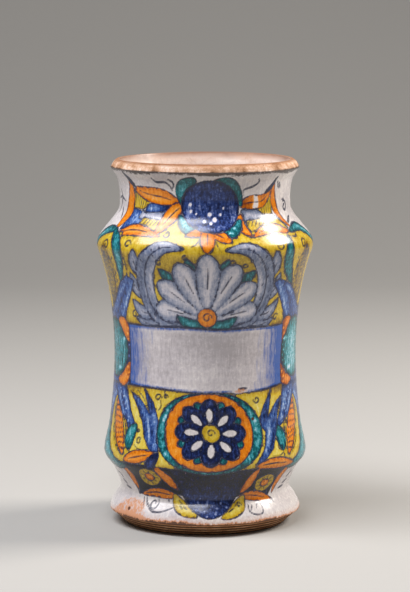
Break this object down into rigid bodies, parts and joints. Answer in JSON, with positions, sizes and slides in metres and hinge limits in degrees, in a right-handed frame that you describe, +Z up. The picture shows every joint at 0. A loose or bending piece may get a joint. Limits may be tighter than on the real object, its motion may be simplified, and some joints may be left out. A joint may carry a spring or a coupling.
{
  "type": "albarello",
  "caption": "Waisted tin-glazed earthenware pharmacy jar with a painted outside, a bare everted rim and a bare turned foot; open at the top and flat below, for storing dry drugs.",
  "frame": {"origin": "middle of the foot, on the surface that the jar stands on", "axes": "+Z up along the jar's axis of revolution; -Y towards the blank label and the main painted panel; +X to the right of it"},
  "size_m": [0.1482, 0.1482, 0.25],
  "materials": {
    "bare_clay": "matte",
    "painted_glaze": "gloss",
    "lining_glaze": "satin"
  },
  "bodies": {
    "root": {"earthenware_body": "bare_clay", "outer_glaze": "painted_glaze", "inner_glaze": "lining_glaze"}
  },
  "joints": []
}
